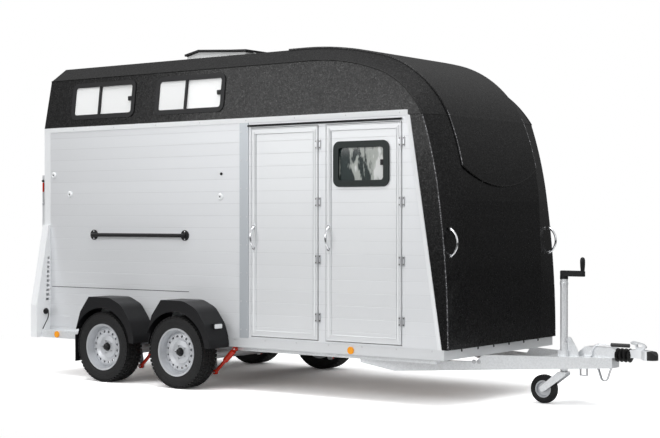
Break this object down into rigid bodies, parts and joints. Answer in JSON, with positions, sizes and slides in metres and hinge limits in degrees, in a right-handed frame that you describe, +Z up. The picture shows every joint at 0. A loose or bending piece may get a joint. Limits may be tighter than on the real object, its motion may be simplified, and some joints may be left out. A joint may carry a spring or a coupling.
{
  "type": "horse trailer",
  "caption": "Towed trailer for two horses, with a tack room, plank walls, moulded roof and nose, rear ramp and jockey wheel.",
  "frame": {"origin": "ground level under the middle of the whole trailer, halfway along its length", "axes": "+X towards the coupling, +Y to the left side, +Z up"},
  "size_m": [5.852, 2.274, 3.02],
  "materials": {
    "galvanised": "spangled zinc, satin",
    "plywood": "phenolic coated birch",
    "sill_aluminium": "satin anodised",
    "plank_aluminium": "fine-lined anodised planks",
    "door_aluminium": "satin anodised sheet",
    "ramp_aluminium": "satin anodised planks",
    "profile_white": "pale satin profile",
    "panel_white": "pale moulded plastic",
    "black_gelcoat": "black with fine metallic flake",
    "black_plastic": "satin",
    "guard_plastic": "grained satin",
    "pale_plastic": "satin",
    "inner_panel": "pale laminate",
    "window_glass": "tinted",
    "window_rubber": "satin",
    "bellows_rubber": "satin",
    "door_fittings": "satin",
    "chrome": "polished",
    "damper_red": "gloss",
    "lamp_red": "clear red",
    "reflector_orange": "clear orange",
    "blind_fabric": "coated fabric",
    "tyre": "black rubber",
    "rim_silver": "silver enamel"
  },
  "bodies": {
    "trailer": {"chassis": "galvanised", "floor_board": "plywood", "sills": "sill_aluminium", "wall_left": "plank_aluminium", "wall_right": "plank_aluminium", "door_frame": "plank_aluminium", "rear_portal": "profile_white", "top_rails": "profile_white", "slant_profiles": "profile_white", "roof_shell": "black_gelcoat", "nose_shell": "black_gelcoat", "nose_panel": "black_gelcoat", "window_frames": "black_plastic", "window_panes": "window_glass", "hatch_collar": "pale_plastic", "frame_hinges": "door_fittings", "dampers": "damper_red", "mudguards": "guard_plastic", "light_panels": "panel_white", "rear_lamps": "lamp_red", "ramp_hinge_bar": "galvanised", "rear_blind": "blind_fabric", "bulkhead": "inner_panel", "stall_divider": "inner_panel", "grab_rail": "black_plastic", "nose_handles": "chrome", "drawbar": "galvanised", "overrun_housing": "galvanised", "bellows": "bellows_rubber", "coupling_head": "galvanised", "coupling_lever": "galvanised", "handbrake": "galvanised", "jockey_clamp": "galvanised", "jockey_leg": "galvanised", "jockey_crank": "black_plastic", "axles": "galvanised", "post_strips": "sill_aluminium", "rear_steps": "galvanised", "side_reflectors": "reflector_orange"},
    "tack_door": {"tack_door_leaf": "door_aluminium", "tack_door_hinges": "door_fittings", "tack_door_handle": "chrome"},
    "front_door": {"front_door_leaf": "door_aluminium", "front_door_hinges": "door_fittings", "front_door_handle": "chrome", "door_window_frame": "window_rubber", "door_window_pane": "window_glass"},
    "ramp": {"ramp": "ramp_aluminium"},
    "hatch": {"hatch_lid": "black_plastic"},
    "jockey_swivel": {"jockey_fork": "galvanised"},
    "jockey_wheel": {"jockey_tyre": "tyre", "jockey_rim": "rim_silver"},
    "wheel_rear_right": {"tyre_rear_right": "tyre", "rim_rear_right": "rim_silver"},
    "wheel_rear_left": {"tyre_rear_left": "tyre", "rim_rear_left": "rim_silver"},
    "wheel_front_right": {"tyre_front_right": "tyre", "rim_front_right": "rim_silver"},
    "wheel_front_left": {"tyre_front_left": "tyre", "rim_front_left": "rim_silver"}
  },
  "joints": [
    {"name": "wheel_rear_right_spin", "type": "hinge", "parent": "trailer", "child": "wheel_rear_right", "pos_m": [-1.86, -1.0235, 0.312], "axis": [0, 1, 0], "continuous": true},
    {"name": "wheel_rear_left_spin", "type": "hinge", "parent": "trailer", "child": "wheel_rear_left", "pos_m": [-1.86, 1.0235, 0.312], "axis": [0, 1, 0], "continuous": true},
    {"name": "wheel_front_right_spin", "type": "hinge", "parent": "trailer", "child": "wheel_front_right", "pos_m": [-0.98, -1.0235, 0.312], "axis": [0, 1, 0], "continuous": true},
    {"name": "wheel_front_left_spin", "type": "hinge", "parent": "trailer", "child": "wheel_front_left", "pos_m": [-0.98, 1.0235, 0.312], "axis": [0, 1, 0], "continuous": true},
    {"name": "tack_door_swing", "type": "hinge", "parent": "trailer", "child": "tack_door", "pos_m": [0.367, -0.8873, 1.3], "axis": [0, 0, 1], "range_deg": [0, 110]},
    {"name": "front_door_swing", "type": "hinge", "parent": "trailer", "child": "front_door", "pos_m": [1.184, -0.8873, 1.3], "axis": [0, 0, 1], "range_deg": [0, 110]},
    {"name": "ramp_fold", "type": "hinge", "parent": "trailer", "child": "ramp", "pos_m": [-2.905, 0, 0.409], "axis": [0, -1, 0], "range_deg": [0, 105]},
    {"name": "hatch_lift", "type": "hinge", "parent": "trailer", "child": "hatch", "pos_m": [-0.905, 0, 2.955], "axis": [0, 1, 0], "range_deg": [0, 45]},
    {"name": "jockey_turn", "type": "hinge", "parent": "trailer", "child": "jockey_swivel", "pos_m": [2.186, -0.092, 0.2], "axis": [0, 0, 1], "continuous": true},
    {"name": "jockey_spin", "type": "hinge", "parent": "jockey_swivel", "child": "jockey_wheel", "pos_m": [2.014, -0.092, 0.114], "axis": [0, 1, 0], "continuous": true}
  ]
}
